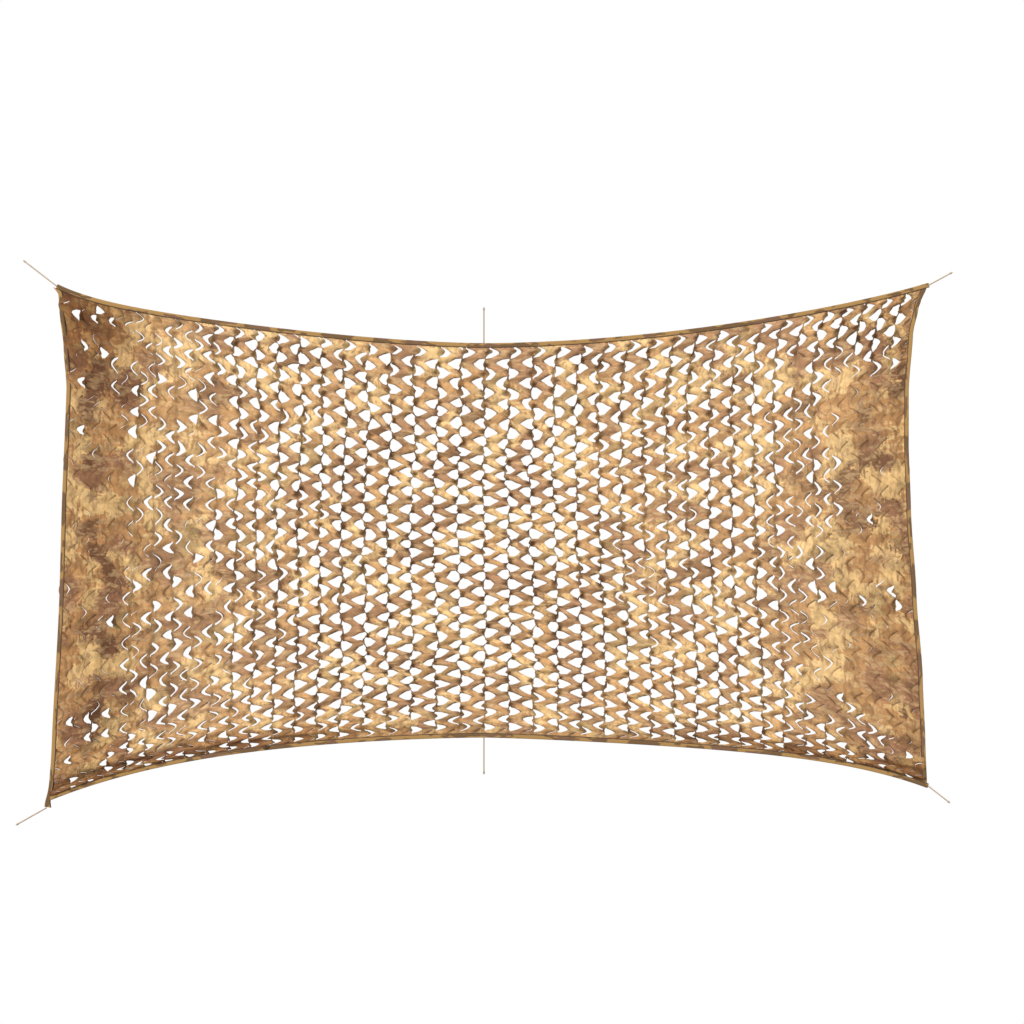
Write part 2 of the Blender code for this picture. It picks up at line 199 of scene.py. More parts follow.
# Soft folds and billows (m): centre, direction in degrees from +X, half-length, half-width and
# depth, where a positive depth stands back from the viewer
FOLDS = rows_of(
    "x z turn long wide depth",
    (-1.90, -0.70, 84, 0.90, 0.15, -0.030),
    (-2.15, -1.75, 96, 0.75, 0.13, 0.028),
    (-1.50, -1.30, 88, 1.10, 0.20, 0.014),
    (-0.75, -0.75, 75, 0.80, 0.34, -0.006),
    (0.15, -1.55, 100, 0.80, 0.36, 0.006),
    (0.85, -0.85, 82, 0.90, 0.30, -0.006),
    (1.62, -1.40, 92, 1.00, 0.18, 0.020),
    (2.02, -0.90, 86, 0.85, 0.15, -0.032),
    (2.20, -1.75, 97, 0.65, 0.13, 0.030),
    (-2.15, 0.02, -42, 0.42, 0.09, 0.022),
    (-2.25, -2.25, 38, 0.38, 0.09, 0.020),
    (2.20, 0.02, 222, 0.40, 0.09, 0.020),
    (2.20, -2.15, 140, 0.38, 0.09, 0.020),
)
FOLD_FADE = 0.22  # folds die out this far in from the hem
DEEPEST = 0.044  # nothing stands further than this from the net's plane
DRIFT_SEED = 1795499066
noise.seed_set(DRIFT_SEED)  # noise_vector would otherwise take its offsets from the clock


def from_table(table, key, value, at):
    """Value of a named-column table at a place between its rows, eased from row to row."""
    for low, high in zip(table, table[1:]):
        if at <= high[key]:
            share = (at - low[key]) / (high[key] - low[key])
            eased = share * share * (3 - 2 * share)
            return low[value] + (high[value] - low[value]) * (0.5 * share + 0.5 * eased)
    return table[-1][value]


def eased_ramp(value):
    """Smooth step from 0 to 1."""
    value = min(max(value, 0.0), 1.0)
    return value * value * (3 - 2 * value)


def wander(first, second, seed):
    """Smooth noise from -1 to 1 over two coordinates."""
    return noise.noise(Vector((first, second, seed)))


def run_rise(run, share):
    """How far a run has risen or dropped at a share of the way from the middle cord to its corner."""
    broad = run["broad"] * share ** run["broad_power"]
    return broad + run["tip"] * share ** run["tip_power"]


LEFT_X = -TOP_WIDTH * TIE_SHARE
RIGHT_X = TOP_WIDTH * (1 - TIE_SHARE)
CORNERS = {
    "top_left": Vector((LEFT_X, run_rise(TOP_RUN["left"], 1))),
    "top_right": Vector((RIGHT_X, run_rise(TOP_RUN["right"], 1))),
    "bottom_left": Vector((LEFT_X - BOTTOM_LEFT_OUT, -WAIST - run_rise(BOTTOM_RUN["left"], 1))),
    "bottom_right": Vector((RIGHT_X - BOTTOM_RIGHT_IN, -WAIST - run_rise(BOTTOM_RUN["right"], 1))),
}


def run_edge(left, right, middle_z, runs, upward, share):
    """Point on the top or bottom edge, which curves from the middle cord to its two corners."""
    x = left.x + (right.x - left.x) * share
    end, side = (left, "left") if x < 0 else (right, "right")
    return Vector((x, middle_z + upward * run_rise(runs[side], x / end.x)))


def top_edge(share):
    return run_edge(CORNERS["top_left"], CORNERS["top_right"], 0.0, TOP_RUN, 1, share)


def bottom_edge(share):
    return run_edge(CORNERS["bottom_left"], CORNERS["bottom_right"], -WAIST, BOTTOM_RUN, -1, share)


def left_edge(down):
    point = CORNERS["top_left"].lerp(CORNERS["bottom_left"], down)
    return point + Vector((from_table(LEFT_DRAW, "down", "drawn_in", down), 0))


def right_edge(down):
    point = CORNERS["top_right"].lerp(CORNERS["bottom_right"], down)
    return point - Vector((from_table(RIGHT_DRAW, "down", "drawn_in", down), 0))


def spread(count, table, key, value, margin):
    """Shares of the lines between count cells whose relative sizes a table gives."""
    sizes = [from_table(table, key, value, (n + 0.5) / count) for n in range(count)]
    unit = (1 - 2 * margin) / sum(sizes)
    shares = [margin]
    for size in sizes:
        shares.append(shares[-1] + size * unit)
    return shares


def fold_depth(x, z, along, down):
    """Depth of the hanging folds and of the finer wrinkles at a place, none inside the hem."""
    edge = min(along * TOP_WIDTH, (1 - along) * TOP_WIDTH, down * WAIST, (1 - down) * WAIST) - HEM
    depth = 0.0
    for fold in FOLDS:
        turn = math.radians(fold["turn"])
        right, up = x - fold["x"], z - fold["z"]
        lengthwise = (right * math.cos(turn) + up * math.sin(turn)) / fold["long"]
        crosswise = (up * math.cos(turn) - right * math.sin(turn)) / fold["wide"]
        depth += fold["depth"] * math.exp(-(lengthwise**2) - crosswise**2)
    slack = 1 - from_table(BAY_PULL, "along", "gape", along)
    wrinkle = wander(x * 9, z * 2.6, 0.0) * (0.002 + 0.010 * slack)
    crumple = wander(x * 13, z * 13, 5.0) * (0.001 + 0.011 * slack)
    crease = abs(wander(x * 6 + z * 2, z * 4 - x, 8.0)) * -0.022 * slack**2
    small = (wrinkle + crumple + crease) * eased_ramp(edge / 0.06)
    return depth * eased_ramp(edge / FOLD_FADE) + small


def slit_phase(line, points):
    """Lines from the nearest slit middle of the slits whose tongues point one way."""
    offset = (line - FIRST_SLIT[points]) % LINES_PER_ROW
    return offset - LINES_PER_ROW if offset > LINES_PER_ROW / 2 else offset


def hem_ease(line):
    """0 inside the tapes at the head and foot, rising to 1 where the slits gape freely."""
    return eased_ramp((min(line, LINES - line) - FLAT_LINES) / EASE_LINES)


def away_from(spot, along, down):
    """How far a place of the net is from a spot, where 1 is on the spot's edge."""
    return math.hypot((along - spot["along"]) / spot["across"], (down - spot["down"]) / spot["tall"])


class Slit:
    """How one slit gapes: its gape, whether its tongue has turned, and the tongue's angles."""

    def __init__(self, strip, row, points, bunched, chance):
        along = strip / BAYS
        down = (row + (0.4 if points == "right" else 0.9)) / ROWS
        self.base_gape = from_table(BAY_PULL, "along", "gape", along)
        turned_share = from_table(BAY_PULL, "along", "turned", along)
        for spot in SPOTS:
            near = eased_ramp(1.4 - away_from(spot, along, down))
            self.base_gape += (spot["gape"] - self.base_gape) * near
            turned_share += (spot["gape"] - turned_share) * near
        # Bunched cloth gapes less, and in the last rows off the middle more tongues are pushed aside
        self.base_gape *= 1 - BUNCHED_SHUT * bunched
        off_middle = eased_ramp((abs(along - 0.5) - 0.15) / 0.1)
        turned_share += 0.28 * eased_ramp((down - 0.86) / 0.06) * off_middle
        # A stray slit gapes in the closed cloth
        stray_share = STRAY_SHARE
        for spot in STRAY_SPOTS:
            stray_share += spot["more"] * eased_ramp(1.7 - away_from(spot, along, down))
        stray = self.base_gape < 0.15 and chance.random() < stray_share
        if stray:
            self.base_gape, turned_share = chance.uniform(0.3, 0.6), 1.0
        # The slits that the tapes half cover mostly stay shut
        half_covered = points == "left" and row in (-1, ROWS - 1)
        half_covered = half_covered and chance.random() < HALF_COVERED_SHUT
        if strip in (0, BAYS) or half_covered:
            self.base_gape = turned_share = 0.0
        # Below the head's middle more tongues still lie in their holes
        if 0.25 < along < 0.75:
            turned_share -= 0.15 * eased_ramp((0.42 - down) / 0.3)
        chosen = 0.62 * chance.random() + 0.38 * (0.5 + wander(along * 9, down * 6, 2.0))
        self.turned = chosen < turned_share
        gape = self.base_gape * (1 + chance.uniform(-0.9, 0.8) * (1.1 - self.base_gape))
        # Where the cloth is hardly pulled, only a short and narrow hole opens
        pinched = 0.0
        if self.turned:
            pinched = STRAY_PINCH if stray else 1 - min(1.0, self.base_gape / 0.6)
            gape = max(gape, 0.45 + 0.35 * pinched)
            lean = chance.uniform(66 + 12 * gape, 106)
            curl = chance.uniform(-15, 35)
        else:
            if chance.random() <= 0.5 - self.base_gape:
                gape = 0.0
            lean = 110 * gape**0.8 - 30 * gape + chance.uniform(-14, 14) * min(1.0, 0.2 + gape)
            curl = chance.uniform(-14, 20)
        # Painted light and shade on the tongue's tip: a painted highlight on some tips, painted shade on
        # others, at random.
        self.tip_light_and_shade = chance.uniform(-1.0, 0.6 + 0.4 * gape)
        self.gape = min(gape, 1.0) if gape > 0.2 else 0.0
        self.free = min(1.0, 2.2 * self.gape)
        self.reach = (1 - 0.45 * pinched) * (1 + chance.uniform(-0.20, 0.12) * self.free)
        self.half_lines = SLIT_LINES + (HOLE_LINES - SLIT_LINES) * min(1.0, 1.6 * self.gape)
        self.shrink = TONGUE_SHRINK * (1.0 if self.turned else 0.4) * self.free
        self.half_lines *= (1 - 0.28 * pinched) * (1 + chance.uniform(-0.15, 0.09) * self.free)
        # A longer lower or upper half, which sets the hole askew
        self.skew = (chance.uniform(-0.16, 0.16) + (0.10 if points == "left" else 0.0)) * self.free
        self.roundness = CUT_ROUNDNESS + (HOLE_ROUNDNESS - CUT_ROUNDNESS) * min(1.3 * self.gape, 1.0)
        self.shift = chance.uniform(-SHIFT_LINES, SHIFT_LINES) * self.free
        self.lean = math.radians(lean)
        self.tip_lean = math.radians(lean + curl)

    def cut(self, phase, roundness, narrowed=1.0):
        """How far the cut stands out from the strip at a line, as a share of its full reach."""
        off = phase - self.shift
        half_lines = self.half_lines * narrowed * (1 + self.skew if off > 0 else 1 - self.skew)
        return max(0.0, 1 - (abs(off) / half_lines) ** roundness)


class Lattice:
    """Where each upright strip's middle crosses each line of the slit cloth, and how slits gape."""

    def __init__(self):
        alongs = spread(BAYS, BAY_PULL, "along", "width", (INSET + STRIP / 2) / TOP_WIDTH)
        middle = spread(LINES, ROW_SPREAD, "down", "middle", INSET / WAIST)
        side = spread(LINES, ROW_SPREAD, "down", "side", INSET / WAIST)
        self.places = []
        for middle_down, side_down in zip(middle, side):
            row = []
            for along in alongs:
                share = min(1.0, abs(along - MIDDLE_ALONG) / SIDE_AWAY)
                row.append(self.place(along, middle_down + (side_down - middle_down) * share))
            self.places.append(row)
        for line, row in enumerate(self.places):
            for strip, place in enumerate(row):
                place.y += self.pleat(strip, line)
        chance = random.Random(11)
        self.slits = {}
        for points in ("right", "left"):
            for strip in range(BAYS + 1):
                for row in range(-1, ROWS + 1):
                    line = min(max(row * LINES_PER_ROW + FIRST_SLIT[points], 0), LINES)
                    bunched = self.bunched(strip, line)
                    self.slits[strip, row, points] = Slit(strip, row, points, bunched, chance)

    def place(self, along, down):
        corners = CORNERS["top_left"].lerp(CORNERS["top_right"], along).lerp(
            CORNERS["bottom_left"].lerp(CORNERS["bottom_right"], along), down
        )
        point = left_edge(down).lerp(right_edge(down), along) - corners
        point += top_edge(along).lerp(bottom_edge(along), down)
        ease = min(1.0, 6 * down, 6 * (1 - down), 12 * along, 12 * (1 - along))
        drift = noise.noise_vector(Vector((point.x * 2.1, point.y * 2.1, 4.0))) * 0.016
        drift += noise.noise_vector(Vector((point.x * 8, point.y * 8, 9.0))) * 0.010
        x, z = point.x + drift.x * ease, point.y + drift.y * ease
        return Vector((x, fold_depth(x, z, along, down), z))

    def pleat(self, strip, line):
        """Depth of the pleats that crowded rows lie in."""
        bunched = self.bunched(strip, line) * eased_ramp(min(line, LINES - line) / 12)
        wave = math.sin(math.pi * (line + 9 * wander(strip * 0.17, line * 0.05, 3.0)) / 9)
        return 0.011 * bunched * wave

    def slit(self, strip, line, points):
        row = round((line - FIRST_SLIT[points]) / LINES_PER_ROW)
        return self.slits[strip, min(max(row, -1), ROWS), points]

    def bunched(self, strip, line):
        """How far the cloth is bunched up, from 0 to 1: where rows crowd, and in two corners."""
        drop = (self.places[max(line - 3, 0)][strip] - self.places[min(line + 3, LINES)][strip]).z
        corner = math.hypot(strip / BAYS / 0.088, line / LINES / 0.16)
        foot_corner = math.hypot((1 - strip / BAYS) / 0.045, (1 - line / LINES) / 0.14)
        corner = min(corner, foot_corner)
        return max(eased_ramp(2.1 - 3.0 * drop / (FLAT_ROW / 2)), eased_ramp(1.5 - corner))

    def strip_turn(self, strip, line):
        """Angle by which a strip has turned about its own length at a line."""
        right, left = self.slit(strip, line, "right"), self.slit(strip, line, "left")
        weight = math.cos(math.pi * slit_phase(line, "right") / LINES_PER_ROW) ** 2
        turned = right.turned * weight + left.turned * (1 - weight)
        gape = right.base_gape * weight + left.base_gape * (1 - weight)
        flat_turn = (16 + 56 * gape) * min(1.0, gape * 6)
        sway = wander(strip * 0.9, line * 0.11, 7.0) * 30 * gape
        # The ribbons hold the strip flatter where they join it
        joined = math.cos(4 * math.pi * slit_phase(line, "right") / LINES_PER_ROW) * 15
        turn = flat_turn + (STRIP_TURN - flat_turn - joined) * turned + sway
        return math.radians(turn) * hem_ease(line)


def smooth_object(name, places, faces, layer_name=None, flats=()):
    """Smooth-shaded object in the scene, with each vertex's flat coordinates (m) as a UV layer."""
    mesh = bpy.data.meshes.new(name)
    mesh.from_pydata(places, [], faces)
    if layer_name:
        layer = mesh.uv_layers.new(name=layer_name)
        for loop in mesh.loops:
            layer.data[loop.index].uv = flats[loop.vertex_index]
    mesh.shade_smooth()
    piece = bpy.data.objects.new(name, mesh)
    bpy.context.scene.collection.objects.link(piece)
    return piece


class NetMesh:
    """Collects the net's vertices, faces, flat-cloth coordinates, painted light and shade (mostly along the
    cut edges) and bunching.
    """

    def __init__(self):
        self.places = []
        self.flats = []
        self.edges = []
        self.bunches = []
        self.bunched = 0.0
        self.faces = []

    # cut is the painted light and shade at the vertex: above 0 a painted highlight, below 0 painted shade.
    def add(self, place, flat_x, flat_z, cut=0.0):
        x, depth, z = place
        self.places.append((x, min(max(depth, -DEEPEST), DEEPEST), z))
        self.flats.append((flat_x, flat_z))
        self.edges.append(cut)
        self.bunches.append(self.bunched)
        return len(self.places) - 1

    def strip(self, upper, lower):
        """Faces between two rows of vertices; a row that has run to a point repeats its vertex."""
        for left in range(len(upper) - 1):
            ring = (upper[left], lower[left], lower[left + 1], upper[left + 1])
            corners = [n for spot, n in enumerate(ring) if n != ring[spot - 1]]
            if len(set(corners)) >= 3:
                self.faces.append(corners)

    def to_object(self, name):
        piece = smooth_object(name, self.places, self.faces, "flat cloth", self.flats)
        for mark, values in (("painted light and shade", self.edges), ("bunched", self.bunches)):
            piece.data.attributes.new(mark, "FLOAT", "POINT").data.foreach_set("value", values)
        return piece


def add_strips(net, lattice):
    """Upright strips, each turned about its own length; returns their edge vertices and turns."""
    cores = []
    for line in range(LINES + 1):
        flat_z = -line * FLAT_ROW / LINES_PER_ROW
        pull = (1 - 4 * abs(slit_phase(line, "right")) / LINES_PER_ROW) * hem_ease(line)
        row = []
        for strip in range(BAYS + 1):
            net.bunched = lattice.bunched(strip, line)
            turn = lattice.strip_turn(strip, line)
            gape = lattice.slit(strip, line, "right").base_gape
            jag = 0.007 * wander(strip * 3.7, line * 0.6, 1.0) * gape
            jag += 0.018 * wander(strip * 5.3, line * 0.13, 2.0) * hem_ease(line)
            middle = lattice.places[line][strip] - Vector((ZIGZAG * pull * gape + jag, 0, 0))
            half = STRIP / 2 * (1 + 0.7 * wander(strip * 2.3, line * 0.45, 3.0) * gape)
            across = Vector((math.cos(turn), math.sin(turn), 0)) * half
            flat_x = strip * FLAT_BAY
            # The strips are painted in shade where their slits gape, deeper in some places along them than
            # others at random.
            strip_shade_wander = wander(strip * 1.9, line * 0.35, 6.0)
            shade = -min(1.0, 1.3 * gape) * min(max(0.60 + 2.4 * strip_shade_wander, 0.0), 1.1)
            left = net.add(middle - across, flat_x - STRIP / 2, flat_z, shade)
            right = net.add(middle + across, flat_x + STRIP / 2, flat_z, shade)
            row.append((left, right, turn))
        cores.append(row)
    for upper, lower in zip(cores, cores[1:]):
        for above, below in zip(upper, lower):
            net.strip(above[:2], below[:2])
    return cores


def shut_reach(width):
    """Reach of a slit's cut across a bay that isn't pulled open."""
    return width * TONGUE / (FLAT_BAY - STRIP)


def add_tongue(net, lattice, cores, strip, points):
    """All the tongues on one side of a strip."""
    sign, side = (1, 1) if points == "right" else (-1, 0)
    before = None
    for line in range(LINES + 1):
        slit = lattice.slit(strip, line, points)
        share = slit.cut(slit_phase(line, points), slit.roundness, 1 - slit.shrink)
        base = cores[line][strip][side]
        net.bunched = net.bunches[base]
        if share <= 0:
            here = [base] * 3
        else:
            ease = hem_ease(line)
            reach = lattice.places[line][strip + sign] - lattice.places[line][strip]
            slope, rise = math.atan(reach.y / reach.x), reach.z / reach.x
            shut = shut_reach(abs(reach.x) - STRIP)
            hanging = TONGUE * 0.9
            length = (1.06 * shut + (hanging - 1.06 * shut) * ease * slit.free) * share
            root = 0.3 * cores[line][strip][2] + 0.7 * slit.lean * ease
            turns = slope + root, slope + slit.tip_lean * ease
            droop = -0.004 * slit.gape * share * ease
            spot, joints = Vector(net.places[base]), []
            for turn in turns:
                flat_step = math.cos(turn) * sign * length / 2
                spot = spot + Vector((flat_step, math.sin(turn) * sign * length / 2, rise * flat_step))
                spot.z += droop
                joints.append(spot)
            flat_x = strip * FLAT_BAY + sign * STRIP / 2
            flat_z = -line * FLAT_ROW / LINES_PER_ROW
            flat_reach = TONGUE * share * sign
            # The tongue's middle is painted in shade as it gapes; its tip carries its own painted light and
            # shade.
            middle = net.add(joints[0], flat_x + flat_reach / 2, flat_z, -0.35 * slit.gape)
            tip = net.add(joints[1], flat_x + flat_reach, flat_z, slit.tip_light_and_shade)
            here = [base, middle, tip]
        if before:
            net.strip(before[::sign], here[::sign])
        before = here


def hole_reach(slit, width, ease):
    """How far a slit's cut edge stands off its strip, at the slit's middle."""
    shut = shut_reach(width)
    return shut + (GAPE_REACH * width * slit.reach - shut) * slit.gape * ease


def swell(phase):
    """Lines by which a fully gaping hole pushes a line away from its middle."""
    share = abs(phase) / (LINES_PER_ROW / 2)
    return math.copysign(HOLE_SWELL * math.sin(math.pi * share**0.85), phase)


def add_ribbon(net, lattice, cores, bay):
    """The zigzag of cloth between two strips, from the head of the net to its foot."""
    before = None
    for line in range(LINES + 1):
        left_core, right_core = cores[line][bay], cores[line][bay + 1]
        start, end = Vector(net.places[left_core[1]]), Vector(net.places[right_core[0]])
        width = (end - start).x
        net.bunched = net.bunches[left_core[1]]
        left_slit, right_slit = lattice.slit(bay, line, "right"), lattice.slit(bay + 1, line, "left")
        left_phase, right_phase = slit_phase(line, "right"), slit_phase(line, "left")
        left_share = left_slit.cut(left_phase, left_slit.roundness)
        right_share = right_slit.cut(right_phase, right_slit.roundness)
        ease = hem_ease(line)
        low = hole_reach(left_slit, width, ease) * left_share
        high = width - hole_reach(right_slit, width, ease) * right_share
        lean = math.sin(math.pi * abs(left_phase) / (LINES_PER_ROW / 2)) * ease
        gape = (left_slit.gape + right_slit.gape) / 2
        chance = 0.5 + wander(bay * 3.7, line * 0.11, 12.0)
        falling = left_phase < 0
        squeeze = (0.12 if falling else 0.34) * gape * 2 * chance * lean
        twist = (0.003 if falling else 0.009) * (gape + (1 - gape) * 0.5 * chance) * lean
        spare = (high - low) / 2 * squeeze
        low += spare if left_share > 0 else 0
        high -= spare if right_share > 0 else 0
        flat_x = bay * FLAT_BAY + STRIP / 2
        flat_z = -line * FLAT_ROW / LINES_PER_ROW
        flat_low = TONGUE * left_share
        flat_high = FLAT_BAY - STRIP - TONGUE * right_share
        line_drop = (lattice.places[max(line - 1, 0)][bay] - lattice.places[min(line + 1, LINES)][bay]).z / 2
        left_swell = swell(left_phase) * left_slit.gape * line_drop * ease
        right_swell = swell(right_phase) * right_slit.gape * line_drop * ease
        here = []
        for number in range(4):
            if number == 0 and left_share <= 0:
                here.append(left_core[1])
                continue
            if number == 3 and right_share <= 0:
                here.append(right_core[0])
                continue
            part = number / 3
            across = (low + (high - low) * part) / width
            place = start.lerp(end, across)
            place.y += (part - 0.5) * 2 * twist - 0.007 * math.sin(math.pi * part) * gape * lean
            place.z -= left_swell * math.exp(-(((across - 0.26) / 0.16) ** 2))
            place.z -= right_swell * math.exp(-(((across - 0.74) / 0.16) ** 2))
            flat = flat_x + flat_low + (flat_high - flat_low) * part
            # The lower edge of each slanting ribbon is painted in deep shade, as if it rolled under.
            # Its upper edge and body get lighter painted shade, varying at random and deeper on rising
            # ribbons.
            lower_edge_shade = 1.2 * wander(bay * 2.9, line * 0.16, 15.0)
            wear_and_shade = 0.45 * wander(bay * 1.7, line * 0.21, 18.0)
            body = wear_and_shade - (0.18 if falling else 0.34)
            tone = (lower_edge_shade - 0.9, body, body, -0.4) if falling else (-0.4, body, body, lower_edge_shade - 0.9)
            here.append(net.add(place, flat, flat_z, tone[number]))
        if before:
            net.strip(before, here)
        before = here


def build_net():
    """The whole slit cloth: its strips, and in each bay the tongues from both sides and the ribbon."""
    lattice, net = Lattice(), NetMesh()
    cores = add_strips(net, lattice)
    for strip in range(BAYS):
        add_tongue(net, lattice, cores, strip, "right")
        add_tongue(net, lattice, cores, strip + 1, "left")
        add_ribbon(net, lattice, cores, strip)
    return net


def paint(hex_color, strength=0.64):
    """Linear RGBA of an sRGB hex colour, darkened for a net that hangs in near-white light."""
    channels = [int(hex_color[place : place + 2], 16) / 255 for place in (0, 2, 4)]
    linear = [c / 12.92 if c <= 0.04045 else ((c + 0.055) / 1.055) ** 2.4 for c in channels]
    return (*[value * strength for value in linear], 1.0)


def new_material(name):
    material = bpy.data.materials.new(name)
    material.use_nodes = True
    material.node_tree.nodes.clear()
    return material


def add_node(material, kind, sockets, output=0, **settings):
    """Adds a node and gives back one of its outputs; a socket is set, or linked to another's output."""
    tree = material.node_tree
    node = tree.nodes.new("ShaderNode" + kind)
    for key, value in settings.items():
        setattr(node, key, value)
    for socket, value in sockets.items():
        if isinstance(value, bpy.types.NodeSocket):
            tree.links.new(value, node.inputs[socket])
        else:
            node.inputs[socket].default_value = value
    return node.outputs[output] if node.outputs else node


def noise_at(material, coords, scale, detail=2.0, seed=0.0, stretch=(1, 1, 1), turn=0.0):
    """Noise value over coordinates that may be turned (degrees), stretched and shifted by a seed."""
    moved = {
        "Vector": coords,
        "Location": (seed, seed * 0.7, seed * 1.3),
        "Rotation": (0, 0, math.radians(turn)),
        "Scale": stretch,
    }
    placed = add_node(material, "Mapping", moved)
    pattern = {"Vector": placed, "Scale": scale, "Detail": detail, "Roughness": 0.55}
    return add_node(material, "TexNoise", pattern)


SMOOTH = {"interpolation_type": "SMOOTHSTEP"}  # a Map Range node: value, then the range it eases over
COLORS = {"output": 2, "data_type": "RGBA"}  # a Mix node: 0 is its mask, 6 and 7 are the colours
MULTIPLIED = {**COLORS, "blend_type": "MULTIPLY"}


def lay_coats(material, color, *coats):
    """Lays colours over one another, each where a value goes from low to high, up to an opacity."""
    for value, low, high, opacity, coat in coats:
        mask = add_node(material, "MapRange", {0: value, 1: low, 2: high, 4: opacity}, **SMOOTH)
        color = add_node(material, "Mix", {0: mask, 6: color, 7: coat}, **COLORS)
    return color


THREAD_SPACING = 0.0024  # the real threads, 0.5 mm apart, would vanish between pixels


def weave_bump(material, coords, height, creases=None):
    """Relief of a plain weave of crossing threads, drawn coarser than it is, over any creases."""
    bands = {"Vector": coords, "Scale": round(math.pi / 10 / THREAD_SPACING), "Distortion": 0.4}
    warp = add_node(material, "TexWave", bands, 1, wave_type="BANDS", bands_direction="X")
    weft = add_node(material, "TexWave", bands, 1, wave_type="BANDS", bands_direction="Y")
    woven = add_node(material, "Math", {0: warp, 1: weft}, operation="MULTIPLY")
    fuzz = noise_at(material, coords, 260, 3.0)
    surface = add_node(material, "Math", {0: fuzz, 1: 0.6, 2: woven}, operation="MULTIPLY_ADD")
    relief = {"Strength": 0.35, "Distance": height, "Height": surface}
    if creases:
        relief["Normal"] = creases
    return add_node(material, "Bump", relief)


def printed_cloth():
    """Matte plain-woven polyester, dye-printed with soft-edged camouflage, with painted light and shade over
    it.
    """
    cloth = new_material("printed woven polyester")
    flat = add_node(cloth, "UVMap", {}, uv_map="flat cloth")
    # Feathered blotch edges, as a soft brush leaves them
    strokes = noise_at(cloth, flat, 14, 1.5, 3.1, (1, 3.2, 1), 52)
    counter = noise_at(cloth, flat, 15, 1.5, 8.4, (3.0, 1, 1), -35)
    feather = add_node(cloth, "Math", {0: strokes, 1: counter}, operation="SUBTRACT")

    def blotches(scale, seed):
        shape = noise_at(cloth, flat, scale, 0.6, seed)
        return add_node(cloth, "Math", {0: feather, 1: 0.30, 2: shape}, operation="MULTIPLY_ADD")

    color = lay_coats(
        cloth,
        paint("BE905E"),
        (blotches(5.2, 1.0), 0.49, 0.55, 1.0, paint("E4BF84")),
        (blotches(5.0, 5.0), 0.64, 0.70, 1.0, paint("A88C5C")),
        (blotches(4.6, 9.0), 0.53, 0.59, 1.0, paint("9A7052")),
        (blotches(4.8, 14.0), 0.61, 0.67, 1.0, paint("7A553C")),
        # Broad dry strokes over the blotches
        (strokes, 0.48, 0.62, 0.36, paint("EACB96")),
        (counter, 0.50, 0.62, 0.42, paint("79573F")),
    )
    # Uneven dye and a little dust
    cloudy = noise_at(cloth, flat, 40, 4.0, 21.0)
    dusty = lay_coats(cloth, paint("E6E6E6", 1.0), (cloudy, 0.3, 0.75, 1.0, paint("FFFFFF", 1.1)))
    color = add_node(cloth, "Mix", {0: 1.0, 6: color, 7: dusty}, **MULTIPLIED)
    # Where it is stretched, the weave opens and its colour is painted lighter, for the light coming through.
    # The painted glow is warm, and the slack cloth is painted a little darker.
    across = add_node(cloth, "SeparateXYZ", {0: flat})
    from_left = add_node(cloth, "MapRange", {0: across, 1: 0.30, 2: 0.75}, **SMOOTH)
    from_right = add_node(cloth, "MapRange", {0: across, 1: 4.5, 2: 3.6}, **SMOOTH)
    taut = add_node(cloth, "Math", {0: from_left, 1: from_right}, operation="MULTIPLY")
    slack = add_node(cloth, "Mix", {0: 1.0, 6: color, 7: paint("F6EFE8", 1.0)}, **MULTIPLIED)
    opened = add_node(cloth, "Mix", {0: 1.0, 6: color, 7: paint("FEFEFB", 1.25)}, **MULTIPLIED)
    opened = add_node(cloth, "Mix", {0: 0.20, 6: opened, 7: paint("F4C490")}, **COLORS)
    color = add_node(cloth, "Mix", {0: taut, 6: slack, 7: opened}, **COLORS)
    # Cloth that is bunched up near a corner lies in its own shadow
    bunched = add_node(cloth, "Attribute", {}, 2, attribute_name="bunched")
    shadow = add_node(cloth, "Math", {0: bunched, 1: 0.9}, operation="MULTIPLY")
    color = add_node(cloth, "Mix", {0: shadow, 6: color, 7: paint("B29C88", 1.0)}, **MULTIPLIED)
    # Painted highlight: some tongue tips are painted pale, where their cut edges would catch the light.
    # Painted shade: the strips, tongues and ribbons darken where they turn from the light.
    tone = add_node(cloth, "Attribute", {}, 2, attribute_name="painted light and shade")
    color = lay_coats(
        cloth,
        color,
        (tone, 0.35, 0.9, 0.8, paint("E6CCA4")),
        (tone, -0.05, -1.0, 0.74, paint("5E3E22")),
    )
    # Slack cloth is creased, most of all near the sides
    slackness = add_node(cloth, "MapRange", {0: taut, 1: 1.0, 2: 0.2}, **SMOOTH)
    crease = noise_at(cloth, flat, 8, 2.0, 33.0, (1, 0.45, 1), -28)
    crease = add_node(cloth, "Math", {0: crease, 1: slackness}, operation="MULTIPLY")
    creased = add_node(cloth, "Bump", {"Strength": 1.0, "Distance": 0.030, "Height": crease})
    surface = {
        "Base Color": color,
        "Roughness": add_node(cloth, "Math", {0: cloudy, 1: 0.2, 2: 0.72}, operation="MULTIPLY_ADD"),
        "Normal": weave_bump(cloth, flat, 0.0006, creased),
        "Sheen Weight": 0.04,
        "Sheen Roughness": 0.5,
        "Specular IOR Level": 0.15,
    }
    add_node(cloth, "OutputMaterial", {"Surface": add_node(cloth, "BsdfPrincipled", surface)})
    return cloth


net = build_net().to_object("slit_cloth")
net.data.materials.append(printed_cloth())
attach(net, "root")
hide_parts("net")


# ---- Tapes ----
# A flat printed tape is folded over the hem on each side and sewn through both plies. At a
# corner one tape runs through and the other is cut off against it.

